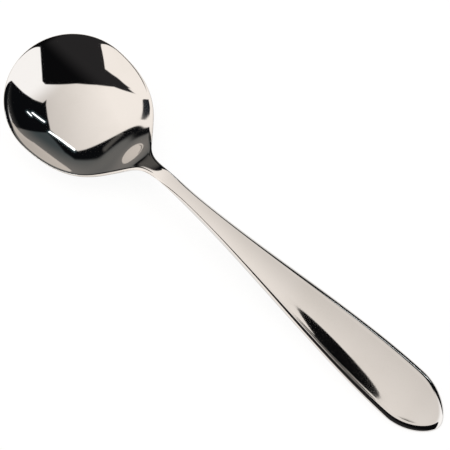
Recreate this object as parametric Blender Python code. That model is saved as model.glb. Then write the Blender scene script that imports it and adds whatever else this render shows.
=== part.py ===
"""Cupping spoon: a deep round bowl, a thin neck and a paddle handle in one run of polished steel.

The spoon lies on a table with the belly of its bowl and the end of its handle touching it.
+X runs from the tip of the bowl to the end of the handle, +Z is up, and the origin is on the
table under the middle of the length. Until the spoon is laid on the table, X is measured from the tip
and Z from the low part of the rim.
"""

import bmesh
import bpy
import numpy as np

COLLECTION = "cupping_spoon"

# Plan outline, along the spoon
SPOON_LENGTH = 0.1683
WIDEST_FROM_TIP = 0.0208
SHOULDER_BEHIND_WIDEST = 0.0256
NECK_BEHIND_SHOULDER = 0.0143
END_LENGTH = 0.0139

# Plan outline, across the spoon
BOWL_WIDTH = 0.0422
SHOULDER_WIDTH = 0.0185
SHOULDER_ANGLE = np.radians(49.2)
NECK_WIDTH = 0.0043
HANDLE_WIDTH = 0.0175

# How long each curve of the outline keeps its direction, as a share of its run
BOWL_BACK_PULL = 0.665
SHOULDER_PULL = 0.23
NECK_FILLET_PULL = 0.53
NECK_SIDE_PULL = 0.665
END_SIDE_PULL = 0.58
END_TIP_PULL = 0.34
QUARTER_CIRCLE_PULL = 0.5523

# Side view, over the low part of the rim
RIM_RISE = 0.0020
RIM_BOW = 1.5
RIM_FALL_LENGTH = 0.0420
SWEEP_BEHIND_WIDEST = 0.0240
SWEEP_ROUNDING = 0.0040
NECK_RAMP_ANGLE = np.radians(30.1)
NECK_RISE = 0.0095
KNEE_ROUNDING = 0.0010
SWELL_BEFORE_SWEEP = 0.0020
SWELL_LENGTH = 0.0095
SWELL_RISE = 0.0011
SWELL_HALF_WIDTH = 0.0055
CREST_BEHIND_NECK = -0.0040
HANDLE_FALL = 0.0026
HANDLE_BOW = 2.5
PADDLE_LENGTH = 0.0156
FOOT_DEPTH = 0.0006

# Hollow of the bowl
BOWL_DEPTH = 0.0087
BOWL_OVAL = 0.0250
LIP_BEHIND_SHOULDER = -0.0028
LIP_SOFTNESS = 0.30

# Thicknesses and edges
BOWL_WALL = 0.0013
NECK_THICKNESS = 0.0034
HANDLE_THICKNESS = 0.0022
THICKENING_BEHIND_WIDEST = 0.0180
HANDLE_CROWN = 0.0005
NECK_EDGE = 0.0010
HANDLE_EDGE = 0.0012
END_ROUNDING = 0.0024

# Where the bowl ends and how much of what follows is neck
BOWL_BEHIND_SHOULDER = 0.0095
NECK_LENGTH = 0.0206

# Fineness of the surface and of the search for its rest
OUTLINE_STEPS = (14, 11, 11, 14, 10)
ACROSS_STEPS = 10
EDGE_STEPS = 6
REST_ROUNDS = 8
MERGE = 1e-7
SLOPE_STEP = 1e-6

# Places along the spoon that follow from those sizes
SHOULDER = WIDEST_FROM_TIP + SHOULDER_BEHIND_WIDEST
NECK = SHOULDER + NECK_BEHIND_SHOULDER
SWEEP = WIDEST_FROM_TIP + SWEEP_BEHIND_WIDEST
SWELL_START = SWEEP - SWELL_BEFORE_SWEEP
SWELL_END = SWELL_START + SWELL_LENGTH
CREST = NECK + CREST_BEHIND_NECK
END = SPOON_LENGTH - END_LENGTH
PADDLE = SPOON_LENGTH - PADDLE_LENGTH
THICKENING = WIDEST_FROM_TIP + THICKENING_BEHIND_WIDEST
LIP = SHOULDER + LIP_BEHIND_SHOULDER
BOWL_END = SHOULDER + BOWL_BEHIND_SHOULDER
HANDLE_START = BOWL_END + NECK_LENGTH
HOLLOW_FRONT = WIDEST_FROM_TIP - BOWL_WALL / 2
HOLLOW_HALF_WIDTH = (BOWL_WIDTH - BOWL_WALL) / 2


def smoothstep(x, start, end):
    """Rises from 0 to 1 between start and end, straight and unbent at both."""
    t = np.clip((x - start) / (end - start), 0.0, 1.0)
    return t**3 * (10.0 - 15.0 * t + 6.0 * t * t)


def bezier(points, steps):
    """Places along one cubic curve and its direction at each, leaving out the last."""
    p = np.array(points, float)
    t = (np.arange(steps) / steps)[:, None]
    u = 1.0 - t
    place = u**3 * p[0] + 3 * u * u * t * p[1] + 3 * u * t * t * p[2] + t**3 * p[3]
    run = u * u * (p[1] - p[0]) + 2 * u * t * (p[2] - p[1]) + t * t * (p[3] - p[2])
    return place, run


def plan_outline():
    """Half of the plan outline from tip to end: places and outward directions."""
    half_bowl, half_neck, half_handle = BOWL_WIDTH / 2, NECK_WIDTH / 2, HANDLE_WIDTH / 2
    shoulder = np.array([SHOULDER, SHOULDER_WIDTH / 2])
    slant = np.array([np.cos(SHOULDER_ANGLE), -np.sin(SHOULDER_ANGLE)])
    third = (END - NECK) / 3
    front = (
        (0, 0),
        (0, QUARTER_CIRCLE_PULL * half_bowl),
        ((1 - QUARTER_CIRCLE_PULL) * WIDEST_FROM_TIP, half_bowl),
        (WIDEST_FROM_TIP, half_bowl),
    )
    back = (
        (WIDEST_FROM_TIP, half_bowl),
        (WIDEST_FROM_TIP + BOWL_BACK_PULL * SHOULDER_BEHIND_WIDEST, half_bowl),
        shoulder - slant * SHOULDER_PULL * SHOULDER_BEHIND_WIDEST,
        shoulder,
    )
    fillet = (
        shoulder,
        shoulder + slant * NECK_FILLET_PULL * NECK_BEHIND_SHOULDER,
        (NECK - NECK_SIDE_PULL * NECK_BEHIND_SHOULDER, half_neck),
        (NECK, half_neck),
    )
    flare = ((NECK, half_neck), (NECK + third, half_neck), (END - third, half_handle), (END, half_handle))
    end = (
        (END, half_handle),
        (END + END_SIDE_PULL * END_LENGTH, half_handle),
        (SPOON_LENGTH, END_TIP_PULL * half_handle),
        (SPOON_LENGTH, 0),
    )
    pieces = [bezier(curve, steps) for curve, steps in zip((front, back, fillet, flare, end), OUTLINE_STEPS)]
    place = np.vstack([place for place, _ in pieces] + [[SPOON_LENGTH, 0.0]])
    run = np.vstack([run for _, run in pieces] + [[0.0, -1.0]])
    run /= np.linalg.norm(run, axis=1)[:, None]
    return place, np.column_stack([-run[:, 1], run[:, 0]])


def thickness(x):
    """Wall of the bowl, swelling to the neck and thinning again along the handle."""
    swell = (NECK_THICKNESS - BOWL_WALL) * smoothstep(x, THICKENING, NECK)
    thin = (NECK_THICKNESS - HANDLE_THICKNESS) * smoothstep(x, CREST, PADDLE)
    return BOWL_WALL + swell - thin


def neck_ramp(x):
    """Rise from the rim to the neck: a slope with a rounded foot and a rounded knee."""
    run = x - SWEEP
    ramp = np.tan(NECK_RAMP_ANGLE) * (run + np.sqrt(run * run + SWEEP_ROUNDING**2)) / 2
    return (ramp + NECK_RISE - np.sqrt((ramp - NECK_RISE) ** 2 + KNEE_ROUNDING**2)) / 2


def swell(x, y):
    """Height of the soft swelling that steepens the way up to the neck and fades along the handle."""
    along = smoothstep(x, SWELL_START, SWELL_END) * (1.0 - smoothstep(x, NECK, PADDLE))
    return SWELL_RISE * along * np.exp(-((y / SWELL_HALF_WIDTH) ** 2))


def edge_height(x):
    """Height of the top edge: falling from the tip, rising to the neck, bowed down along the handle."""
    t = np.clip(x / RIM_FALL_LENGTH, 0.0, 1.0)
    rim = RIM_RISE * (1 - t) ** 3 * (1 + RIM_BOW * t)
    along = np.clip((x - NECK) / (SPOON_LENGTH - NECK), 0.0, 1.0)
    return rim + neck_ramp(x) - HANDLE_FALL * along**HANDLE_BOW


def hollow_share(x):
    """How far the hollow goes in on the centre line, as a share of its depth.

    The place s along the hollow is -1 at the tip, 0 at the widest and 1 at the lip, and the share is
    1 - s * s, rounded where it meets the lip.
    """
    back = LIP - WIDEST_FROM_TIP
    run = x - WIDEST_FROM_TIP
    s = run * (HOLLOW_FRONT + back) / (2 * HOLLOW_FRONT * back + (back - HOLLOW_FRONT) * run)
    share = 1.0 - s * s
    softness = LIP_SOFTNESS * smoothstep(s, 0.0, 1.0)
    share = 0.5 * (share + np.sqrt(share * share + softness * softness))
    return share * (1.0 - smoothstep(x, LIP, CREST))


def front_bend(x):
    """How fast the hollow rises sideways in front of the widest, where its plan is half an ellipse."""
    half_width_squared = HOLLOW_HALF_WIDTH**2 * (1.0 - ((x - WIDEST_FROM_TIP) / HOLLOW_FRONT) ** 2)
    return hollow_share(x) / half_width_squared


def slope_along(function, x):
    """Rate of change of a function along the spoon."""
    return (function(x + SLOPE_STEP) - function(x - SLOPE_STEP)) / (2 * SLOPE_STEP)


def edge_reach(x, outward):
    """How far the rounded edge reaches out of the flat of the section."""
    to_end = np.where(x > PADDLE, np.clip(outward[:, 0], 0.0, 1.0) ** 2, 0.0)
    reach = BOWL_WALL / 2 + (NECK_EDGE - BOWL_WALL / 2) * smoothstep(x, THICKENING, NECK)
    reach = reach + (HANDLE_EDGE - NECK_EDGE) * smoothstep(x, CREST, PADDLE)
    return reach + (END_ROUNDING - HANDLE_EDGE) * to_end


def middle_surface(x, w, v, outward):
    """Middle of the wall and its upward direction.

    The hollow is the cap of an upright oval. Its height over the deepest point grows with 1 - fill,
    where fill is the hollow's share on the centre line and falls with the square of the distance
    from it to nothing at the edge.
    """
    y = w * v
    wide = np.maximum(w, NECK_WIDTH / 8)
    narrowing = -outward[:, :1] / np.maximum(outward[:, 1:], 0.1)
    in_front = x < WIDEST_FROM_TIP
    front_x = np.clip(x, BOWL_WALL / 2 + 2 * SLOPE_STEP, WIDEST_FROM_TIP)

    share = hollow_share(x)
    share_run = slope_along(hollow_share, np.maximum(x, front_x))
    bend = front_bend(front_x)
    fill = np.where(in_front, share - bend * y * y, share * (1 - v * v))
    fill_along = np.where(
        in_front,
        share_run - slope_along(front_bend, front_x) * y * y,
        share_run * (1 - v * v) + 2 * share * v * v * narrowing / wide,
    )
    fill_across = np.where(in_front, -2 * bend * y, -2 * share * v / wide)

    cut = 1 - BOWL_DEPTH / BOWL_OVAL
    root = np.sqrt(cut * cut + (1 - cut * cut) * np.maximum(fill, 0.0))
    steep = BOWL_OVAL * (1 - cut * cut) / (2 * root)
    level = edge_height(x) - thickness(x) / 2
    level_run = slope_along(lambda at: edge_height(at) - thickness(at) / 2, x)

    place = np.stack([x + 0 * v, y, level - BOWL_OVAL * (root - cut)], axis=-1)
    upward = np.stack([steep * fill_along - level_run, steep * fill_across, np.ones_like(root)], axis=-1)
    return place, upward / np.linalg.norm(upward, axis=-1)[..., None]


def half_sections():
    """One half of the skin: sections from tip to end, each from its crown round the edge to its belly."""
    outline, outward = plan_outline()
    reach = edge_reach(outline[:, 0], outward)
    flat = outline - outward * reach[:, None]
    half = thickness(outline[:, 0])[:, None] / 2
    v = np.linspace(0.0, 1.0, ACROSS_STEPS + 1)[None, :]
    middle, upward = middle_surface(flat[:, :1], np.maximum(flat[:, 1:], 0.0), v, outward)
    middle[..., 2] += swell(flat[:, :1], middle[..., 1])

    top = middle + upward * half[..., None]
    top[..., 2] += HANDLE_CROWN * smoothstep(flat[:, :1], CREST, PADDLE) * (1 - v * v)
    belly = middle - upward * half[..., None]

    up = upward[:, -1]
    out = np.column_stack([outward, np.zeros(len(outward))])
    out -= up * np.sum(out * up, axis=1)[:, None]
    out /= np.linalg.norm(out, axis=1)[:, None]
    turn = np.radians(np.linspace(90.0, -90.0, EDGE_STEPS + 1)[1:-1])[None, :]
    outwards = reach[:, None] * np.cos(turn)
    upwards = half * np.sin(turn)
    edge = middle[:, -1:] + out[:, None] * outwards[..., None] + up[:, None] * upwards[..., None]

    grid = np.concatenate([top, edge, belly[:, ::-1]], axis=1)
    grid[[0, -1], :, 1] = 0.0
    return grid


def table_under(sections):
    """Slope of the table in side view and the point of the bowl that rests on it.

    The table goes through the lowest points of bowl and handle as seen from the table itself, so it is
    found in a few rounds. It cuts a little into the handle's end, which is ground flat there.
    """
    points = sections.reshape(-1, 3)
    bowl, handle = points[points[:, 0] < SHOULDER], points[points[:, 0] >= SHOULDER]
    slope = 0.0
    for _ in range(REST_ROUNDS):
        belly, end = (part[np.argmin(part[:, 2] - slope * part[:, 0])] for part in (bowl, handle))
        slope = (end[2] + FOOT_DEPTH - belly[2]) / (end[0] - belly[0])
    return slope, belly


def resting_sections():
    """The sections turned so that the spoon lies on the table, with the middle of its length at x = 0."""
    sections = half_sections()
    slope, belly = table_under(sections)
    turn = np.arctan(slope)
    x, y, z = np.moveaxis(sections, -1, 0)
    over = np.maximum(z - belly[2] - slope * (x - belly[0]), 0.0)
    along = x * np.cos(turn) + z * np.sin(turn)
    return np.stack([along - (along.min() + along.max()) / 2, y, over * np.cos(turn)], axis=-1)


def spoon_blank(sections):
    """The whole spoon as one closed surface lofted through the sections and mirrored."""
    blank = bmesh.new()
    rows = [[blank.verts.new(point) for point in section] for section in sections]
    for near, far in zip(rows, rows[1:]):
        for j in range(len(near) - 1):
            blank.faces.new((near[j], far[j], far[j + 1], near[j + 1]))
    bmesh.ops.remove_doubles(blank, verts=blank.verts, dist=MERGE)
    everything = blank.verts[:] + blank.edges[:] + blank.faces[:]
    bmesh.ops.mirror(blank, geom=everything, axis="Y", merge_dist=MERGE)
    return blank


def region(name, sections, start, stop, material):
    """The stretch of the spoon between two planes across it, as one closed object."""
    solid = spoon_blank(sections)
    for place, side in ((start, -1), (stop, 1)):
        if place is None:
            continue
        cut = bmesh.ops.bisect_plane(
            solid,
            geom=solid.verts[:] + solid.edges[:] + solid.faces[:],
            dist=MERGE,
            plane_co=(place - SPOON_LENGTH / 2, 0, 0),
            plane_no=(side, 0, 0),
            clear_outer=True,
        )
        loop = [part for part in cut["geom_cut"] if isinstance(part, bmesh.types.BMEdge)]
        bmesh.ops.edgeloop_fill(solid, edges=loop)
    bmesh.ops.recalc_face_normals(solid, faces=solid.faces)
    mesh = bpy.data.meshes.new(name)
    solid.to_mesh(mesh)
    solid.free()
    mesh.shade_smooth()
    mesh.set_sharp_from_angle(angle=np.radians(40))
    mesh.materials.append(material)
    made = bpy.data.objects.new(name, mesh)
    bpy.data.collections[COLLECTION].objects.link(made)
    return made


def polished_steel(name, roughness):
    """Mirror-polished stainless steel, slightly warm."""
    made = bpy.data.materials.new(name)
    made.use_nodes = True
    shader = made.node_tree.nodes["Principled BSDF"]
    shader.inputs["Base Color"].default_value = (0.72, 0.70, 0.68, 1.0)
    shader.inputs["Metallic"].default_value = 1.0
    shader.inputs["Roughness"].default_value = roughness
    return made


def main():
    for leftover in list(bpy.data.objects):
        bpy.data.objects.remove(leftover, do_unlink=True)
    bpy.context.scene.collection.children.link(bpy.data.collections.new(COLLECTION))
    sections = resting_sections()
    region("bowl", sections, None, BOWL_END, polished_steel("bowl_steel", 0.05))
    region("neck", sections, BOWL_END, HANDLE_START, polished_steel("neck_steel", 0.08))
    region("handle", sections, HANDLE_START, None, polished_steel("handle_steel", 0.07))


main()
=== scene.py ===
"""Cupping spoon: its polished skin, its steel and the studio that the steel mirrors.

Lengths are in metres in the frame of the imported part: +X runs from the tip of the bowl to the end of
the handle, +Z is up, and the table is z = 0 under the middle of the length. The shape classes measure
along the spoon from its tip.
"""

import logging
from dataclasses import dataclass
from enum import Enum
from typing import Callable, Dict, List, Sequence, Tuple, Union

import bmesh
import bpy
import numpy as np
from mathutils import Matrix, Quaternion, Vector


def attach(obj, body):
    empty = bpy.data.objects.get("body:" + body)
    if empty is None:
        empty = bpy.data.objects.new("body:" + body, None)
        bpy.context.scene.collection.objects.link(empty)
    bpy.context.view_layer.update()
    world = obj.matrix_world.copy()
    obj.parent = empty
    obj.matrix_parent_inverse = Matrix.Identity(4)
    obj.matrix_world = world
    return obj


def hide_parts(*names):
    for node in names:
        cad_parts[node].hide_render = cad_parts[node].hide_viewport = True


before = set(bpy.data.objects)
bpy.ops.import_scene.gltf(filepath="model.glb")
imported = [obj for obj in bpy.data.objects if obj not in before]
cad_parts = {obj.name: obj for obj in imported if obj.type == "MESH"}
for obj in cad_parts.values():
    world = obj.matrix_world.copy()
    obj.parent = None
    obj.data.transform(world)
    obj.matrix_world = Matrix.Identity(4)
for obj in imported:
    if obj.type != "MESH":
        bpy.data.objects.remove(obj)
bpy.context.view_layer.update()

Array = np.ndarray
Colour = Tuple[float, float, float]
Point = Tuple[float, float]

SLOPE_STEP = 1e-6
MERGE = 1e-7
TINY = 1e-9
REST_ROUNDS = 8

log = logging.getLogger("cupping_spoon")


def ease(x: Array, start: float, end: float) -> Array:
    """Rise from 0 at start to 1 at end: t cubed times (10 - 15 t + 6 t squared), flat at both ends.

    Args:
        x: places to work it out at.
        start: where the rise starts.
        end: where the rise ends.

    Returns:
        A share from 0 to 1 for each place.
    """
    t = np.clip((x - start) / (end - start), 0.0, 1.0)
    return t**3 * (10.0 - 15.0 * t + 6.0 * t * t)


def slope(function: Callable[[Array], Array], x: Array) -> Array:
    """Rate of change of a function along the spoon: its difference over a tiny step either side.

    Args:
        function: the function of the place along the spoon.
        x: places to work it out at.

    Returns:
        The slope at each place.
    """
    return (function(x + SLOPE_STEP) - function(x - SLOPE_STEP)) / (2 * SLOPE_STEP)


@dataclass(frozen=True)
class PlanOutline:
    """The spoon seen from above: a round bowl, a shoulder, a thin neck and a flaring paddle handle."""

    length: float = 0.1683
    widest: float = 0.0208
    shoulder_behind_widest: float = 0.0256
    neck_behind_shoulder: float = 0.0143
    end_length: float = 0.0139
    bowl_width: float = 0.0422
    shoulder_width: float = 0.0185
    shoulder_angle: float = np.radians(49.2)
    neck_width: float = 0.0043
    handle_width: float = 0.0175
    bowl_back_pull: float = 0.665
    shoulder_pull: float = 0.23
    neck_fillet_pull: float = 0.53
    neck_side_pull: float = 0.665
    end_side_pull: float = 0.58
    end_tip_pull: float = 0.34
    quarter_circle_pull: float = 0.5523
    trace_steps: int = 400
    arc_step: float = 0.0001
    fairing: float = 0.0009
    bell_reach: float = 4.0

    @property
    def shoulder(self) -> float:
        """Place of the shoulder along the spoon."""
        return self.widest + self.shoulder_behind_widest

    @property
    def neck(self) -> float:
        """Place of the thinnest part along the spoon."""
        return self.shoulder + self.neck_behind_shoulder

    @property
    def end(self) -> float:
        """Place where the handle is widest and its end starts to round."""
        return self.length - self.end_length

    def controls(self) -> Array:
        """Control points of the five cubic curves from the tip to the end, as an array of 5 x 4 x 2."""
        half_bowl, half_neck, half_handle = self.bowl_width / 2, self.neck_width / 2, self.handle_width / 2
        shoulder = np.array([self.shoulder, self.shoulder_width / 2])
        slant = np.array([np.cos(self.shoulder_angle), -np.sin(self.shoulder_angle)])
        third = (self.end - self.neck) / 3
        front = (
            (0, 0),
            (0, self.quarter_circle_pull * half_bowl),
            ((1 - self.quarter_circle_pull) * self.widest, half_bowl),
            (self.widest, half_bowl),
        )
        back = (
            (self.widest, half_bowl),
            (self.widest + self.bowl_back_pull * self.shoulder_behind_widest, half_bowl),
            shoulder - slant * self.shoulder_pull * self.shoulder_behind_widest,
            shoulder,
        )
        fillet = (
            shoulder,
            shoulder + slant * self.neck_fillet_pull * self.neck_behind_shoulder,
            (self.neck - self.neck_side_pull * self.neck_behind_shoulder, half_neck),
            (self.neck, half_neck),
        )
        flare = (
            (self.neck, half_neck),
            (self.neck + third, half_neck),
            (self.end - third, half_handle),
            (self.end, half_handle),
        )
        end = (
            (self.end, half_handle),
            (self.end + self.end_side_pull * self.end_length, half_handle),
            (self.length, self.end_tip_pull * half_handle),
            (self.length, 0),
        )
        return np.array([front, back, fillet, flare, end], float)

    def traced(self) -> Array:
        """The half outline as evenly spaced points.

        Each curve is the cubic blend of its four control points. The chain is then set at equal steps
        of its own length.

        Returns:
            Points from the tip to the end, n x 2.
        """
        t = (np.arange(self.trace_steps) / self.trace_steps)[None, :, None]
        u = 1.0 - t
        p = np.moveaxis(self.controls(), 1, 0)[:, :, None]
        chain = u**3 * p[0] + 3 * u * u * t * p[1] + 3 * u * t * t * p[2] + t**3 * p[3]
        chain = np.vstack([chain.reshape(-1, 2), [[self.length, 0.0]]])
        run = np.concatenate([[0.0], np.cumsum(np.linalg.norm(np.diff(chain, axis=0), axis=1))])
        even = np.linspace(0.0, run[-1], int(run[-1] / self.arc_step) + 1)
        return np.column_stack([np.interp(even, run, chain[:, 0]), np.interp(even, run, chain[:, 1])])

    def faired(self) -> Tuple[Array, Array]:
        """The even outline with its bends run into each other, and its outward directions.

        The half outline is continued past both ends by its mirror image and averaged with a bell curve
        along its length. The outward direction is the run of the outline turned by a quarter turn.

        Returns:
            Places and outward unit directions, each n x 2.
        """
        half = self.traced()
        reach = int(self.bell_reach * self.fairing / self.arc_step)
        flip = np.array([1.0, -1.0])
        whole = np.vstack([half[reach:0:-1] * flip, half, half[-2 : -reach - 2 : -1] * flip])
        bell = np.exp(-0.5 * (np.arange(-reach, reach + 1) * self.arc_step / self.fairing) ** 2)
        bell /= bell.sum()
        place = np.column_stack([np.convolve(whole[:, axis], bell, "valid") for axis in (0, 1)])
        run = np.gradient(place, axis=0)
        run[[0, -1]] = [[0.0, 1.0], [0.0, -1.0]]
        run /= np.linalg.norm(run, axis=1)[:, None]
        place[[0, -1], 1] = 0.0
        return place, np.column_stack([-run[:, 1], run[:, 0]])

    def rows(self, bowl_step: float, handle_step: float, end_step: float) -> Tuple[Array, Array]:
        """The faired outline at the rows of the skin: close in the bends and wide along the handle.

        The number of rows up to a place is the sum of the outline's steps over the wanted distance there.

        Args:
            bowl_step: distance between rows round the bowl and neck.
            handle_step: distance between rows along the handle.
            end_step: distance between rows round the handle's end.

        Returns:
            Places and outward unit directions, each rows x 2.
        """
        place, outward = self.faired()
        straight = self.neck + self.shoulder_width, self.end - self.end_length
        stops = np.array([0.0, self.neck, *straight, self.end])
        steps = np.array([bowl_step, bowl_step, handle_step, handle_step, end_step])
        density = 1.0 / np.interp(place[:, 0], stops, steps)
        count = np.concatenate([[0.0], np.cumsum(density[1:]) * self.arc_step])
        wanted = np.linspace(0.0, count[-1], int(count[-1]) + 1)
        pick = [np.interp(wanted, count, values) for values in (*place.T, *outward.T)]
        turned = np.column_stack(pick[2:])
        return np.column_stack(pick[:2]), turned / np.linalg.norm(turned, axis=1)[:, None]


@dataclass(frozen=True)
class SideProfile:
    """The spoon from the side, over the level of its rim: rise to the neck, bowed handle, thickness."""

    plan: PlanOutline
    rim_rise: float = 0.0020
    rim_bow: float = 1.5
    rim_fall_length: float = 0.0420
    sweep_behind_widest: float = 0.0240
    neck_rise: float = 0.0095
    neck_ramp_angle: float = np.radians(30.1)
    sweep_rounding: float = 0.0040
    knee_rounding: float = 0.0010
    swell_before_sweep: float = 0.0020
    swell_length: float = 0.0095
    swell_rise: float = 0.0011
    swell_half_width: float = 0.0055
    crest_behind_neck: float = -0.0040
    handle_fall: float = 0.0026
    handle_bow: float = 2.5
    paddle_length: float = 0.0156
    bowl_wall: float = 0.0013
    neck_thickness: float = 0.0034
    handle_thickness: float = 0.0022
    thickening_behind_widest: float = 0.0180
    handle_crown: float = 0.0005
    rim_edge: float = 0.00025
    rim_bevel: float = 1.3
    rim_run_out: float = 0.0200
    neck_edge: float = 0.0010
    handle_edge: float = 0.0021
    end_rounding: float = 0.0024

    @property
    def sweep(self) -> float:
        """Place where the rise to the neck starts."""
        return self.plan.widest + self.sweep_behind_widest

    @property
    def swell_start(self) -> float:
        """Place where the swelling on the centre line starts."""
        return self.sweep - self.swell_before_sweep

    @property
    def crest(self) -> float:
        """Place where the neck is at its full height and thickness."""
        return self.plan.neck + self.crest_behind_neck

    @property
    def paddle(self) -> float:
        """Place where the handle has thinned down to its paddle."""
        return self.plan.length - self.paddle_length

    @property
    def thickening(self) -> float:
        """Place where the wall of the bowl starts to thicken."""
        return self.plan.widest + self.thickening_behind_widest

    def thickness(self, x: Array) -> Array:
        """Wall of the bowl, swelling to the neck and thinning again along the handle."""
        swell = (self.neck_thickness - self.bowl_wall) * ease(x, self.thickening, self.plan.neck)
        thin = (self.neck_thickness - self.handle_thickness) * ease(x, self.crest, self.paddle)
        return self.bowl_wall + swell - thin

    def neck_ramp(self, x: Array) -> Array:
        """Rise from the rim to the neck.

        A slope starts with half the sum of the run and the root of the run squared plus the rounding
        squared. The lower of that and the neck's height is taken, with the corner rounded in the same way.

        Args:
            x: places along the spoon.

        Returns:
            The rise at each place.
        """
        run = x - self.sweep
        ramp = np.tan(self.neck_ramp_angle) * (run + np.sqrt(run * run + self.sweep_rounding**2)) / 2
        return (ramp + self.neck_rise - np.sqrt((ramp - self.neck_rise) ** 2 + self.knee_rounding**2)) / 2

    def swell(self, x: Array, y: Array) -> Array:
        """Height of the soft swelling that steepens the way up to the neck: a bell curve across the spoon.

        Args:
            x: places along the spoon.
            y: places across it.

        Returns:
            The height at each place, fading along the handle.
        """
        along = ease(x, self.swell_start, self.swell_start + self.swell_length)
        along = along * (1.0 - ease(x, self.plan.neck, self.paddle))
        return self.swell_rise * along * np.exp(-((y / self.swell_half_width) ** 2))

    def edge_height(self, x: Array) -> Array:
        """Height of the top edge: rim falling from the tip, plus a rise to the neck, less the handle's bow.

        The bow grows with a power of the place along the handle.

        Args:
            x: places along the spoon.

        Returns:
            The height at each place.
        """
        t = np.clip(x / self.rim_fall_length, 0.0, 1.0)
        rim = self.rim_rise * (1 - t) ** 3 * (1 + self.rim_bow * t)
        along = np.clip((x - self.plan.neck) / (self.plan.length - self.plan.neck), 0.0, 1.0)
        return rim + self.neck_ramp(x) - self.handle_fall * along**self.handle_bow

    def thin_rim(self, x: Array) -> Array:
        """1 round the bowl and up to the neck, where the rim is thin, falling to 0 along the handle."""
        return 1.0 - ease(x, self.crest, self.crest + self.rim_run_out)

    def edge_top(self, x: Array) -> Array:
        """How far the edge's outermost line lies under the top: little round the bowl, halfway else."""
        half = self.thickness(x) / 2
        return half + (self.rim_edge - half) * self.thin_rim(x)

    def edge_reach(self, x: Array, outward: Array) -> Array:
        """How far the rounded edge reaches out of the flat of the section.

        Args:
            x: places along the spoon.
            outward: outward directions of the outline there.

        Returns:
            The reach at each place.
        """
        to_end = np.where(x > self.paddle, np.clip(outward[:, 0], 0.0, 1.0) ** 2, 0.0)
        thin = self.bowl_wall / 2
        reach = thin + (self.neck_edge - thin) * ease(x, self.thickening, self.plan.neck)
        reach = reach + (self.handle_edge - self.neck_edge) * ease(x, self.crest, self.paddle)
        return reach + (self.end_rounding - self.handle_edge) * to_end


@dataclass(frozen=True)
class Hollow:
    """The hollow of the bowl: the cap of an upright oval that runs out over a soft lip at the neck."""

    plan: PlanOutline
    side: SideProfile
    depth: float = 0.0087
    oval: float = 0.0250
    lip_behind_shoulder: float = -0.0028
    lip_softness: float = 0.30

    def share(self, x: Array) -> Array:
        """Depth on the centre line over the greatest depth.

        The place s along the hollow is -1 at the tip, 0 at the widest and 1 at the lip. The share is
        1 - s squared, rounded where it meets the lip and gone at the crest of the neck.

        Args:
            x: places along the spoon.

        Returns:
            The share at each place.
        """
        front = self.plan.widest - self.side.bowl_wall / 2
        lip = self.plan.shoulder + self.lip_behind_shoulder
        back = lip - self.plan.widest
        run = x - self.plan.widest
        s = run * (front + back) / (2 * front * back + (back - front) * run)
        share = 1.0 - s * s
        softness = self.lip_softness * ease(s, 0.0, 1.0)
        share = 0.5 * (share + np.sqrt(share * share + softness * softness))
        return share * (1.0 - ease(x, lip, self.side.crest))

    def front_bend(self, x: Array) -> Array:
        """How fast the hollow rises sideways before the widest: its share over its half width squared."""
        front = self.plan.widest - self.side.bowl_wall / 2
        half_width = (self.plan.bowl_width - self.side.bowl_wall) / 2
        return self.share(x) / (half_width**2 * (1.0 - ((x - self.plan.widest) / front) ** 2))

    def dip(self, fill: Array) -> Tuple[Array, Array]:
        """Depth of the oval's cap and how fast it grows with the fill.

        The cap's height is the oval times (root - cut), with root the square root of cut squared plus
        (1 - cut squared) times the fill, and cut the share of the oval that is above the rim.

        Args:
            fill: share of the hollow, from 0 at the edge to 1 at the deepest point.

        Returns:
            The depth and its rate of change, for each fill.
        """
        cut = 1 - self.depth / self.oval
        root = np.sqrt(cut * cut + (1 - cut * cut) * np.maximum(fill, 0.0))
        return self.oval * (root - cut), self.oval * (1 - cut * cut) / (2 * root)


@dataclass(frozen=True)
class Rest:
    """The table under the spoon: a line in side view that touches the bowl and the end of the handle."""

    slope: float
    belly: Point
    middle: float

    @classmethod
    def under(cls, half: Array, bowl_end: float, foot_depth: float) -> "Rest":
        """Find the table under a half skin.

        The line goes through the lowest points of the bowl and the handle as measured from the line, so it
        is found in a few rounds. The handle's end is ground flat where the line cuts into it.

        Args:
            half: points of the half skin, along its rim.
            bowl_end: place along the spoon that parts bowl and handle.
            foot_depth: how far the line cuts into the handle's end.

        Returns:
            The table.
        """
        points = half.reshape(-1, 3)
        bowl, handle = points[points[:, 0] < bowl_end], points[points[:, 0] >= bowl_end]
        slant = 0.0
        for _ in range(REST_ROUNDS):
            low, end = (part[np.argmin(part[:, 2] - slant * part[:, 0])] for part in (bowl, handle))
            slant = (end[2] + foot_depth - low[2]) / (end[0] - low[0])
        rest = cls(slant, (low[0], low[2]), 0.0)
        laid = rest.lay(half)[..., 0]
        return cls(slant, rest.belly, (laid.min() + laid.max()) / 2)

    def lay(self, points: Array) -> Array:
        """Turn points along the rim to the table, with nothing under it.

        Args:
            points: places along the spoon, across it and over the rim.

        Returns:
            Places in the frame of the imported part.
        """
        x, y, z = np.moveaxis(points, -1, 0)
        turn = np.arctan(self.slope)
        over = np.maximum(z - self.belly[1] - self.slope * (x - self.belly[0]), 0.0)
        along = x * np.cos(turn) + z * np.sin(turn) - self.middle
        return np.stack([along, y, over * np.cos(turn)], axis=-1)


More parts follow.
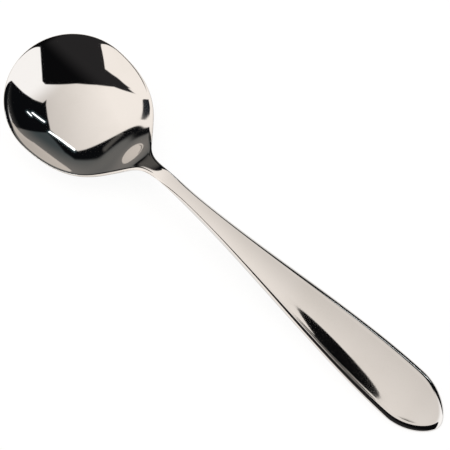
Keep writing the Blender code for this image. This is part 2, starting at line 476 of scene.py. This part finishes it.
class Value:
    """A number in a node tree. Arithmetic on it adds Math nodes."""

    def __init__(self, graph: "Graph", socket: bpy.types.NodeSocket) -> None:
        """Wrap a number socket of a graph."""
        self.graph = graph
        self.socket = socket

    def __add__(self, other: "Number") -> "Value":
        """Sum."""
        return self.graph.math("ADD", self, other)

    def __radd__(self, other: "Number") -> "Value":
        """Sum with a number on the left."""
        return self.graph.math("ADD", other, self)

    def __sub__(self, other: "Number") -> "Value":
        """Difference."""
        return self.graph.math("SUBTRACT", self, other)

    def __rsub__(self, other: "Number") -> "Value":
        """Difference from a number on the left."""
        return self.graph.math("SUBTRACT", other, self)

    def __mul__(self, other: "Number") -> "Value":
        """Product."""
        return self.graph.math("MULTIPLY", self, other)

    def __rmul__(self, other: "Number") -> "Value":
        """Product with a number on the left."""
        return self.graph.math("MULTIPLY", other, self)

    def __truediv__(self, other: "Number") -> "Value":
        """Quotient."""
        return self.graph.math("DIVIDE", self, other)

    def __rtruediv__(self, other: "Number") -> "Value":
        """Quotient with a number on the left."""
        return self.graph.math("DIVIDE", other, self)

    def low(self, other: "Number") -> "Value":
        """The lower of the two."""
        return self.graph.math("MINIMUM", self, other)

    def high(self, other: "Number") -> "Value":
        """The higher of the two."""
        return self.graph.math("MAXIMUM", self, other)

    def root(self) -> "Value":
        """Square root."""
        return self.graph.math("SQRT", self)

    def rise(self, start: float, end: float) -> "Value":
        """Smooth rise from 0 at start to 1 at end.

        Args:
            start: value that gives 0.
            end: value that gives 1.

        Returns:
            A share from 0 to 1.
        """
        made = self.graph.node(
            "ShaderNodeMapRange",
            {"interpolation_type": "SMOOTHSTEP"},
            {"Value": self, "From Min": start, "From Max": end},
        )
        return Value(self.graph, made.outputs["Result"])


Number = Union[Value, float]
Tint = Union[bpy.types.NodeSocket, Colour]


class Graph:
    """A node tree that is written as expressions."""

    # Numbers of the colour sockets of a Mix node, which share their names with others.
    MIX_FIRST, MIX_SECOND, MIX_RESULT = 6, 7, 2

    def __init__(self, tree: bpy.types.NodeTree) -> None:
        """Take an empty tree."""
        tree.nodes.clear()
        self.tree = tree

    def node(
        self, kind: str, settings: Dict[str, object], sockets: Dict[Union[str, int], object]
    ) -> bpy.types.Node:
        """Add one node.

        Args:
            kind: Blender's type name of the node.
            settings: its properties, which are set first.
            sockets: values or links of its inputs, by name or number.

        Returns:
            The node.
        """
        made = self.tree.nodes.new(kind)
        for name, setting in settings.items():
            setattr(made, name, setting)
        for key, given in sockets.items():
            source = given.socket if isinstance(given, Value) else given
            if isinstance(source, bpy.types.NodeSocket):
                self.tree.links.new(source, made.inputs[key])
            else:
                made.inputs[key].default_value = source
        return made

    def math(self, operation: str, *values: Number) -> Value:
        """Add a Math node and return its result."""
        made = self.node("ShaderNodeMath", {"operation": operation}, dict(enumerate(values)))
        return Value(self, made.outputs[0])

    def value(self, node: bpy.types.Node, output: Union[str, int] = 0) -> Value:
        """A node's output as a number."""
        return Value(self, node.outputs[output])

    def mix(self, factor: Number, first: Tint, second: Tint) -> bpy.types.NodeSocket:
        """Blend two colours.

        Args:
            factor: 0 for the first colour, 1 for the second.
            first: colour or colour socket.
            second: colour or colour socket.

        Returns:
            The blended colour's socket.
        """
        tints = {self.MIX_FIRST: first, self.MIX_SECOND: second}
        whole = {key: (*tint, 1.0) if isinstance(tint, tuple) else tint for key, tint in tints.items()}
        made = self.node("ShaderNodeMix", {"data_type": "RGBA"}, {0: factor, **whole})
        return made.outputs[self.MIX_RESULT]

    def scaled(self, tint: Tint, factor: Value) -> bpy.types.NodeSocket:
        """A colour times a number, by Vector Math."""
        made = self.node("ShaderNodeVectorMath", {"operation": "SCALE"}, {0: tint, "Scale": factor})
        return made.outputs[0]

    def noise(self, vector: bpy.types.NodeSocket, scale: float, detail: float) -> Value:
        """Soft noise from 0 to 1.

        Args:
            vector: where the noise is read.
            scale: bumps per metre.
            detail: how many finer layers it has.

        Returns:
            The noise.
        """
        made = self.node("ShaderNodeTexNoise", {}, {"Vector": vector, "Scale": scale, "Detail": detail})
        return self.value(made, "Fac")

    def vector(self, *parts: Number) -> bpy.types.NodeSocket:
        """Three numbers as one vector."""
        return self.node("ShaderNodeCombineXYZ", {}, dict(enumerate(parts))).outputs[0]

    def parts(self, vector: bpy.types.NodeSocket) -> Tuple[Value, Value, Value]:
        """The three numbers of a vector."""
        made = self.node("ShaderNodeSeparateXYZ", {}, {0: vector})
        return self.value(made, 0), self.value(made, 1), self.value(made, 2)


@dataclass(frozen=True)
class PolishedSteel:
    """Mirror-polished stainless steel: polishing lines, wiped smudges and a hint of warm colour."""

    name: str = "polished_steel"
    colour: Colour = (0.72, 0.70, 0.68)
    smudged_colour: Colour = (0.69, 0.67, 0.645)
    roughness: float = 0.030
    smudge_roughness: float = 0.030
    line_roughness: float = 0.015
    smudges_per_metre: float = 55.0
    smudge_layers: float = 4.0
    smudge_span: Tuple[float, float] = (0.45, 0.75)
    lines_per_metre: float = 2600.0
    line_layers: float = 2.0
    line_stretch: float = 0.012
    turns_per_line: float = 1.5
    line_depth: float = 4e-7
    bowl_centre: float = -0.0642
    bowl_end: float = -0.0365
    handle_start: float = -0.0290

    def make(self) -> bpy.types.Material:
        """The steel as a material that reads Object coordinates.

        Polishing lines run round the bowl and along the handle: noise that is fine across the line and
        long along it. Where the bowl runs into the neck, the one fades into the other.

        Returns:
            The material.
        """
        made = bpy.data.materials.new(self.name)
        made.use_nodes = True
        graph = Graph(made.node_tree)
        where = graph.node("ShaderNodeTexCoord", {}, {}).outputs["Object"]
        x, y, _ = graph.parts(where)
        from_centre = x - self.bowl_centre
        radius = (from_centre * from_centre + y * y).root()
        turn = graph.math("ARCTAN2", y, from_centre)
        ring = graph.vector(radius * self.lines_per_metre, turn * self.turns_per_line, 0.0)
        round_bowl = graph.noise(ring, 1.0, self.line_layers)
        stretched = self.lines_per_metre * self.line_stretch
        straight = graph.vector(x * stretched, y * self.lines_per_metre, 0.0)
        along = graph.noise(straight, 1.0, self.line_layers)
        on_handle = x.rise(self.bowl_end, self.handle_start)
        lines = round_bowl * (1.0 - on_handle) + along * on_handle
        smudge = graph.noise(where, self.smudges_per_metre, self.smudge_layers).rise(*self.smudge_span)
        roughness = smudge * self.smudge_roughness + lines * self.line_roughness + self.roughness
        bump = graph.node(
            "ShaderNodeBump", {}, {"Strength": 1.0, "Distance": self.line_depth, "Height": lines}
        )
        shader = graph.node(
            "ShaderNodeBsdfPrincipled",
            {},
            {
                "Base Color": graph.mix(smudge, self.colour, self.smudged_colour),
                "Metallic": 1.0,
                "Roughness": roughness,
                "Normal": bump.outputs[0],
            },
        )
        graph.node("ShaderNodeOutputMaterial", {}, {"Surface": shader.outputs[0]})
        return made


@dataclass
class Spoon:
    """The whole spoon as one unbroken polished skin over the bowl, neck and handle."""

    plan: PlanOutline
    side: SideProfile
    hollow: Hollow
    finish: PolishedSteel
    name: str = "spoon_skin"
    across_steps: int = 42
    edge_steps: int = 28
    bowl_step: float = 0.00040
    handle_step: float = 0.0006
    end_step: float = 0.00030
    foot_depth: float = 0.0006
    least_width_share: float = 0.125
    least_outward: float = 0.1

    def middle(self, x: Array, w: Array, v: Array, outward: Array) -> Tuple[Array, Array]:
        """Middle of the wall and its upward direction.

        The hollow's fill is its share on the centre line and falls with the square of the distance from
        it to nothing at the edge. The middle lies the dip of that fill under the top edge, and half the
        thickness lower. Its upward direction is the cross product of its two slopes.

        Args:
            x: place along the spoon of each row, rows x 1.
            w: half width of the flat of each row, rows x 1.
            v: place across, 0 on the centre line and 1 at the edge, 1 x columns.
            outward: outward directions of the outline, rows x 2.

        Returns:
            Places and upward unit directions, rows x columns x 3.
        """
        y = w * v
        wide = np.maximum(w, self.plan.neck_width * self.least_width_share)
        narrowing = -outward[:, :1] / np.maximum(outward[:, 1:], self.least_outward)
        in_front = x < self.plan.widest
        front_x = np.clip(x, self.side.bowl_wall / 2 + 2 * SLOPE_STEP, self.plan.widest)
        share = self.hollow.share(x)
        share_run = slope(self.hollow.share, np.maximum(x, front_x))
        bend = self.hollow.front_bend(front_x)
        bend_run = slope(self.hollow.front_bend, front_x)
        fill = np.where(in_front, share - bend * y * y, share * (1 - v * v))
        behind_run = share_run * (1 - v * v) + 2 * share * v * v * narrowing / wide
        fill_along = np.where(in_front, share_run - bend_run * y * y, behind_run)
        fill_across = np.where(in_front, -2 * bend * y, -2 * share * v / wide)
        dip, steep = self.hollow.dip(fill)

        def level(at: Array) -> Array:
            """Height of the middle of the wall at the edge."""
            return self.side.edge_height(at) - self.side.thickness(at) / 2

        place = np.stack([x + 0 * v, y, level(x) - dip], axis=-1)
        along = steep * fill_along - slope(level, x)
        upward = np.stack([along, steep * fill_across, np.ones_like(dip)], axis=-1)
        return place, upward / np.linalg.norm(upward, axis=-1)[..., None]

    def crown(self, flat: Array, v: Array) -> Array:
        """Height of the handle's crown: a parabola across it.

        It grows along the handle, and at the end it fades with the square of the half width.

        Args:
            flat: place along and half width of the flat of each row, rows x 2.
            v: place across, 0 on the centre line and 1 at the edge, 1 x columns.

        Returns:
            The height, rows x columns.
        """
        x, w = flat[:, :1], flat[:, 1:]
        bow = 1 - v * v
        widest = self.plan.handle_width / 2 - self.side.handle_edge
        crown = self.side.handle_crown * ease(x, self.side.crest, self.side.paddle) * bow
        return crown * np.where(x > self.side.paddle, np.minimum(w / widest, 1.0) ** 2, 1.0)

    def edge(self, border: Array, up: Array, outline: Array, outward: Array) -> Array:
        """The rounded edge of each row, from its top to its belly.

        It is made of two quarter ellipses that meet at its outermost line, and that line reaches the
        outline. Round the bowl the lower quarter is a soft bevel instead, which falls with a power of the
        way down.

        Args:
            border: middle of the wall at the border of the flat, rows x 3.
            up: upward directions there, rows x 3.
            outline: points of the outline, rows x 2.
            outward: outward directions of the outline, rows x 2.

        Returns:
            Points, rows x columns x 3.
        """
        x = outline[:, 0]
        reach = self.side.edge_reach(x, outward)[:, None]
        half = self.side.thickness(x)[:, None] / 2
        over = self.side.edge_top(x)[:, None]
        out = np.column_stack([outward, np.zeros(len(outward))])
        out -= up * np.sum(out * up, axis=1)[:, None]
        out /= np.linalg.norm(out, axis=1)[:, None]
        lean = np.sum(up[:, :2] * outward, axis=1)[:, None]
        level = np.sum(out[:, :2] * outward, axis=1)[:, None]
        lip = (reach - (half - over) * lean) / level
        turn = np.radians(np.linspace(90.0, -90.0, self.edge_steps + 1)[1:-1])[None, :]
        bevel = self.side.thin_rim(x)[:, None] * (turn < 0)
        beveled = 1 - np.abs(np.sin(turn)) ** self.side.rim_bevel
        outwards = lip * (np.cos(turn) * (1 - bevel) + beveled * bevel)
        upwards = half - over + np.where(turn > 0, over, 2 * half - over) * np.sin(turn)
        return border[:, None] + out[:, None] * outwards[..., None] + up[:, None] * upwards[..., None]

    def half_skin(self) -> Array:
        """One half of the skin as a grid, along its rim.

        Each row runs over the top, round the edge and back under the belly. Top and belly lie half the
        thickness off the middle along its upward direction.

        Returns:
            Points, rows x columns x 3.
        """
        outline, outward = self.plan.rows(self.bowl_step, self.handle_step, self.end_step)
        flat = outline - outward * self.side.edge_reach(outline[:, 0], outward)[:, None]
        half = self.side.thickness(outline[:, 0])[:, None, None] / 2
        v = np.linspace(0.0, 1.0, self.across_steps + 1)[None, :]
        middle, upward = self.middle(flat[:, :1], np.maximum(flat[:, 1:], 0.0), v, outward)
        middle[..., 2] += self.side.swell(flat[:, :1], middle[..., 1])

        top = middle + upward * half
        top[..., 2] += self.crown(flat, v)
        belly = middle - upward * half
        edge = self.edge(middle[:, -1], upward[:, -1], outline, outward)
        grid = np.concatenate([top, edge, belly[:, ::-1]], axis=1)
        grid[[0, -1], :, 1] = 0.0
        return grid

    def rest(self) -> Rest:
        """The table under the spoon."""
        return Rest.under(self.half_skin(), self.plan.shoulder, self.foot_depth)

    def skin(self) -> Array:
        """The whole skin as a grid of closed rings, set down on the table.

        Returns:
            Points, rows x columns x 3, each row once round the spoon.
        """
        half = self.rest().lay(self.half_skin())
        other = half[:, -2:0:-1] * np.array([1.0, -1.0, 1.0])
        return np.concatenate([half, other], axis=1)

    def build(self) -> bpy.types.Object:
        """The skin as a closed, smooth mesh object at the origin, dressed in its steel.

        Returns:
            The object, riding on the part's one body.
        """
        grid = self.skin()
        rows, columns = grid.shape[:2]
        index = np.arange(rows * columns).reshape(rows, columns)
        beside = np.roll(index, -1, axis=1)
        faces = np.stack([index[:-1], index[1:], beside[1:], beside[:-1]], axis=-1).reshape(-1, 4)
        mesh = bpy.data.meshes.new(self.name)
        mesh.from_pydata(grid.reshape(-1, 3), [], faces)
        shell = bmesh.new()
        shell.from_mesh(mesh)
        bmesh.ops.remove_doubles(shell, verts=shell.verts, dist=MERGE)
        bmesh.ops.recalc_face_normals(shell, faces=shell.faces)
        shell.to_mesh(mesh)
        shell.free()
        mesh.shade_smooth()
        mesh.materials.append(self.finish.make())
        made = bpy.data.objects.new(self.name, mesh)
        bpy.context.scene.collection.objects.link(made)
        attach(made, "root")
        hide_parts("bowl", "neck", "handle")
        log.info("%s: %d rows of %d points, %d faces", made.name, rows, columns, len(mesh.polygons))
        return made


class Ray(Enum):
    """Kinds of ray that see the white of the table and backdrop."""

    CAMERA = "Is Camera Ray"
    GLOSSY = "Is Glossy Ray"
    TRANSMISSION = "Is Transmission Ray"


class Softness(Enum):
    """How many degrees the edge of a card takes to fade."""

    FINE = 0.6
    LAMP = 1.2
    CRISP = 1.5
    SOFT = 3.0


@dataclass(frozen=True)
class Strip:
    """A straight lamp or card with round ends, by the middles of its ends."""

    start: Point
    end: Point
    half_width: float


@dataclass(frozen=True)
class SkyMap:
    """Directions in degrees from straight over the bowl's rim, towards the handle (u) and +Y (v)."""

    graph: Graph
    u: Value
    v: Value
    down: Value

    @classmethod
    def of(cls, graph: Graph, tilt: float) -> "SkyMap":
        """The map of a world's graph.

        Directions are turned back by the tilt of the spoon. The angle from overhead is then the arc cosine
        of the direction's height, and it is laid off along the direction's own heading.

        Args:
            graph: the world's graph.
            tilt: how far the rim of the resting spoon leans towards the handle.

        Returns:
            The map.
        """
        direction = graph.node("ShaderNodeTexCoord", {}, {}).outputs["Generated"]
        level_x, y, level_z = graph.parts(direction)
        lean, keep = float(np.sin(tilt)), float(np.cos(tilt))
        x, z = level_x * keep - level_z * lean, level_x * lean + level_z * keep
        down = graph.math("ARCCOSINE", z) * float(np.degrees(1.0))
        spread = down / (x * x + y * y + TINY).root()
        return cls(graph, x * spread, y * spread, down)

    def side(self, start: Point, end: Point) -> Value:
        """Degrees to the right of the line from start to end."""
        along = np.array(end) - np.array(start)
        along = along / np.linalg.norm(along)
        return (self.u - start[0]) * float(along[1]) - (self.v - start[1]) * float(along[0])

    def panel(self, corners: Sequence[Point], softness: Softness) -> Value:
        """A card that lies to the right of each line of a chain.

        Args:
            corners: points of the chain.
            softness: how its edge fades.

        Returns:
            1 on the card and 0 off it.
        """
        inside = self.side(corners[0], corners[1])
        for start, end in zip(corners[1:], corners[2:]):
            inside = inside.low(self.side(start, end))
        return inside.rise(-softness.value / 2, softness.value / 2)

    def strip(self, strip: Strip, softness: Softness, wider: float = 0.0) -> Value:
        """Where a strip is: within its half width of the nearest point of its middle line.

        Args:
            strip: the lamp or card.
            softness: how its edge fades.
            wider: what its half width grows by.

        Returns:
            1 on the strip and 0 off it.
        """
        run = np.array(strip.end) - np.array(strip.start)
        du, dv = self.u - strip.start[0], self.v - strip.start[1]
        share = (du * float(run[0]) + dv * float(run[1])) / float(run @ run)
        share = share.high(0.0).low(1.0)
        off_u, off_v = du - share * float(run[0]), dv - share * float(run[1])
        away = (off_u * off_u + off_v * off_v).root()
        half_width = strip.half_width + wider
        return away.rise(half_width + softness.value / 2, half_width - softness.value / 2)


@dataclass(frozen=True)
class Studio:
    """The studio that the steel mirrors: pale scrim overhead, dark walls, lamps, cards, white table."""

    tilt: float
    white: Colour = (1.0, 1.0, 1.0)
    scrim: Colour = (1.0, 0.946, 0.897)
    window: Colour = (1.28, 1.27, 1.265)
    wall_dark: Colour = (0.004, 0.0045, 0.0055)
    wall_low: Colour = (0.05, 0.05, 0.05)
    wall_near: Colour = (0.060, 0.075, 0.080)
    wall_far: Colour = (0.235, 0.222, 0.210)
    wall_pale: Colour = (0.100, 0.096, 0.090)
    lamp: Colour = (3.2, 3.4, 3.5)
    lamp_glow: Colour = (0.05, 0.075, 0.085)
    card: Colour = (0.004, 0.004, 0.0045)
    card_low: Colour = (0.026, 0.025, 0.026)
    card_small: Colour = (0.022, 0.026, 0.032)
    fall_along: float = -0.0030
    fall_across: float = -0.0045
    scrim_least: float = 0.80
    scrim_most: float = 1.22
    window_span: Tuple[float, float] = (16.0, 44.0)
    wall_low_span: Tuple[float, float] = (80.0, 90.0)
    wall_far_span: Tuple[float, float] = (66.0, 92.0)
    card_low_span: Tuple[float, float] = (-18.0, -42.0)
    scrim_edge: Tuple[Point, ...] = (
        (-84.0, -25.0), (-78.6, -14.0), (-60.5, 24.5), (-50.0, 43.0), (-39.0, 49.0),
        (-14.3, 50.3), (3.6, 39.7), (16.4, 30.9), (21.0, 26.0),
    )
    window_edge: Tuple[Point, ...] = (
        (20.8, -90.0), (20.8, 32.4), (31.3, 39.1), (45.6, 44.9), (66.3, 50.6),
    )
    wall_edge: Tuple[Point, ...] = (
        (-86.0, -20.0), (-79.0, 5.0), (-76.5, 21.0), (-70.0, 33.0), (-62.5, 42.0),
        (-54.0, 52.5), (-42.0, 57.0), (-16.7, 56.0),
    )
    wall_end: Tuple[Point, ...] = ((-1.1, 75.0), (-16.7, 53.5))
    wall_strip: Strip = Strip((-70.5, 21.0), (-72.0, 4.0), 2.2)
    card_right: Tuple[Point, ...] = (
        (9.2, -75.2), (-11.8, -51.7), (-16.0, -32.0), (9.0, -15.0), (42.0, 7.4), (76.0, -17.0),
    )
    card_left: Tuple[Point, ...] = (
        (9.2, -75.2), (-11.8, -51.7), (-14.0, -39.0), (9.0, -15.0), (36.5, 13.8),
        (42.0, 14.0), (60.4, -1.2), (76.3, -14.5),
    )
    tail_root: Tuple[Point, ...] = (
        (-33.0, -42.6), (-10.0, -28.2), (-5.0, -52.5), (-27.0, -53.2), (-33.5, -51.5),
    )
    tail_tip: Tuple[Point, ...] = (
        (-47.2, -44.3), (-30.8, -40.9), (-25.0, -47.0), (-30.0, -52.5), (-42.5, -47.6),
    )
    card_strip: Strip = Strip((-60.2, -40.6), (-73.6, -16.4), 1.7)
    lamps: Tuple[Strip, ...] = (
        Strip((-15.6, 52.8), (-46.3, 45.2), 1.0),
        Strip((18.0, 52.4), (-0.1, 48.0), 0.8),
        Strip((22.4, 57.3), (15.3, 56.3), 0.5),
    )
    glow_width: float = 2.0
    table_half: float = 4.0
    table_sink: float = 0.00004
    table_colour: Colour = (0.86, 0.86, 0.86)
    table_white: float = 1.12
    shade_share: float = 0.22
    round_card_place: Tuple[float, float, float] = (0.1109, -0.049, 0.3160)
    round_card_radius: float = 0.040
    round_card_steps: int = 64
    soft_lamp_place: Tuple[float, float, float] = (-0.25, 0.35, 1.4)
    soft_lamp_size: float = 0.9
    soft_lamp_watts: float = 3.0

    def build(self) -> None:
        """Set up the world, the table, the round card and the lamp."""
        scene = bpy.context.scene
        scene.view_settings.view_transform = "Standard"
        self.world()
        self.table()
        self.round_card()
        self.soft_lamp()

    def white_rays(self, graph: Graph, rays: Sequence[Ray]) -> Value:
        """1 for the given kinds of ray and 0 for others.

        Args:
            graph: the graph to work in.
            rays: kinds of ray.

        Returns:
            The highest of those outputs of a Light Path node.
        """
        path = graph.node("ShaderNodeLightPath", {}, {})
        seen = graph.value(path, rays[0].value)
        for ray in rays[1:]:
            seen = seen.high(graph.value(path, ray.value))
        return seen

    def world(self) -> None:
        """Colour the world by direction, and white where the camera sees it.

        The walls come first, then the scrim and the window, then lamps and cards over them. The scrim's
        brightness falls in a straight line over the map.
        """
        world = bpy.data.worlds.new("studio")
        world.use_nodes = True
        bpy.context.scene.world = world
        graph = Graph(world.node_tree)
        sky = SkyMap.of(graph, self.tilt)

        band = sky.panel(self.wall_edge, Softness.SOFT)
        low_wall = (1.0 - band).low(sky.panel(self.wall_end, Softness.SOFT))
        grey = graph.mix(sky.down.rise(*self.wall_far_span), self.wall_near, self.wall_far)
        walls = graph.mix(sky.down.rise(*self.wall_low_span), self.wall_dark, self.wall_low)
        walls = graph.mix(low_wall, walls, grey)
        walls = graph.mix(sky.strip(self.wall_strip, Softness.SOFT), walls, self.wall_pale)

        level = sky.u * self.fall_along + sky.v * self.fall_across + 1.0
        level = level.high(self.scrim_least).low(self.scrim_most)
        bright = graph.scaled(self.scrim, level)
        bright = graph.mix(sky.u.rise(*self.window_span), bright, self.window)
        lit = sky.panel(self.scrim_edge, Softness.CRISP).high(sky.panel(self.window_edge, Softness.CRISP))
        tint = graph.mix(lit, walls, bright)

        for lamp in self.lamps:
            glow = sky.strip(lamp, Softness.SOFT, self.glow_width) * (1.0 - lit)
            tint = graph.mix(glow, tint, self.lamp_glow)
            tint = graph.mix(sky.strip(lamp, Softness.LAMP), tint, self.lamp)

        card = graph.mix(sky.v.rise(*self.card_low_span), self.card, self.card_low)
        for edge in (self.card_right, self.card_left, self.tail_root, self.tail_tip):
            tint = graph.mix(sky.panel(edge, Softness.CRISP), tint, card)
        tint = graph.mix(sky.strip(self.card_strip, Softness.FINE), tint, self.card_small)

        seen = self.white_rays(graph, (Ray.CAMERA,))
        tint = graph.mix(seen, tint, self.white)
        background = graph.node("ShaderNodeBackground", {}, {"Color": tint, "Strength": 1.0})
        graph.node("ShaderNodeOutputWorld", {}, {"Surface": background.outputs[0]})
        log.info("world: %d nodes", len(graph.tree.nodes))

    def stage_mesh(self, name: str, points: Array, faces: List[Sequence[int]]) -> bpy.types.Object:
        """A piece of the studio that isn't part of the spoon.

        Args:
            name: its name.
            points: corners, n x 3.
            faces: corner numbers of each face.

        Returns:
            The object.
        """
        mesh = bpy.data.meshes.new(name)
        mesh.from_pydata(points, [], faces)
        made = bpy.data.objects.new(name, mesh)
        bpy.context.scene.collection.objects.link(made)
        return made

    def table(self) -> None:
        """A plain white table that keeps a faint shadow of the spoon."""
        corners = np.array([[-1, -1, 0], [1, -1, 0], [1, 1, 0], [-1, 1, 0]], float) * self.table_half
        corners[:, 2] = -self.table_sink
        made = self.stage_mesh("table", corners, [(0, 1, 2, 3)])
        white = bpy.data.materials.new("white_table")
        white.use_nodes = True
        graph = Graph(white.node_tree)
        matt = graph.node("ShaderNodeBsdfDiffuse", {}, {"Color": (*self.table_colour, 1.0)})
        even = graph.node("ShaderNodeEmission", {}, {"Strength": self.table_white})
        seen = self.white_rays(graph, tuple(Ray)) * (1.0 - self.shade_share)
        both = graph.node("ShaderNodeMixShader", {}, {0: seen, 1: matt.outputs[0], 2: even.outputs[0]})
        graph.node("ShaderNodeOutputMaterial", {}, {"Surface": both.outputs[0]})
        made.data.materials.append(white)
        log.info("%s: %.1f m across", made.name, 2 * self.table_half)

    def round_card(self) -> None:
        """A round dark card over the handle that only the steel sees: a circle of points."""
        turn = np.linspace(0.0, 2 * np.pi, self.round_card_steps, endpoint=False)
        points = np.array(self.round_card_place) + self.round_card_radius * np.column_stack(
            [np.cos(turn), np.sin(turn), 0 * turn]
        )
        made = self.stage_mesh("round_card", points, [tuple(range(self.round_card_steps))])
        dark = bpy.data.materials.new("dark_card")
        dark.use_nodes = True
        graph = Graph(dark.node_tree)
        even = graph.node("ShaderNodeEmission", {}, {"Color": (*self.card, 1.0), "Strength": 1.0})
        graph.node("ShaderNodeOutputMaterial", {}, {"Surface": even.outputs[0]})
        made.data.materials.append(dark)
        made.visible_camera = made.visible_diffuse = made.visible_shadow = made.visible_transmission = False
        log.info("%s: %.0f mm across", made.name, 2000 * self.round_card_radius)

    def soft_lamp(self) -> None:
        """One wide lamp overhead that gives the spoon a soft shadow and doesn't show in the steel."""
        lamp = bpy.data.lights.new("soft_lamp", "AREA")
        lamp.size = self.soft_lamp_size
        lamp.energy = self.soft_lamp_watts
        made = bpy.data.objects.new("soft_lamp", lamp)
        made.location = self.soft_lamp_place
        made.rotation_euler = (-Vector(made.location)).to_track_quat("-Z", "Y").to_euler()
        made.visible_glossy = False
        bpy.context.scene.collection.objects.link(made)
        log.info("%s: %.1f W", made.name, lamp.energy)


@dataclass(frozen=True)
class Viewpoint:
    """The camera of the photograph: steeply from above, with the bowl at the upper left."""

    target: Tuple[float, float, float] = (-0.003289, 0.003425, -0.001050)
    distance: float = 0.33032
    azimuth: float = 1.00999
    elevation: float = 1.28778
    roll: float = -0.27661
    lens: float = 86.171
    sensor: float = 36.0
    nearest: float = 0.01

    def build(self) -> bpy.types.Object:
        """The camera, set behind its target along the viewing direction.

        Returns:
            The camera object, which is made the scene's camera.
        """
        flat = np.cos(self.elevation)
        back = Vector((np.sin(self.azimuth) * flat, -np.cos(self.azimuth) * flat, np.sin(self.elevation)))
        right = Vector((np.cos(self.azimuth), np.sin(self.azimuth), 0.0))
        right.rotate(Quaternion(back, self.roll))
        up = back.cross(right)
        data = bpy.data.cameras.new("camera")
        data.lens = self.lens
        data.sensor_width = self.sensor
        data.clip_start = self.nearest
        made = bpy.data.objects.new("camera", data)
        turned = Matrix((right, up, back)).transposed().to_4x4()
        made.matrix_world = Matrix.Translation(Vector(self.target) + back * self.distance) @ turned
        bpy.context.scene.collection.objects.link(made)
        bpy.context.scene.camera = made
        log.info("camera: %.0f mm lens, %.0f mm away", self.lens, 1000 * self.distance)
        return made


def main() -> None:
    """Build the spoon, the studio and the camera in order."""
    logging.basicConfig(level=logging.INFO, format="%(name)s: %(message)s")
    plan = PlanOutline()
    side = SideProfile(plan)
    spoon = Spoon(plan, side, Hollow(plan, side), PolishedSteel())
    spoon.build()
    Studio(float(np.arctan(spoon.rest().slope))).build()
    Viewpoint().build()


if __name__ == "__main__":
    main()
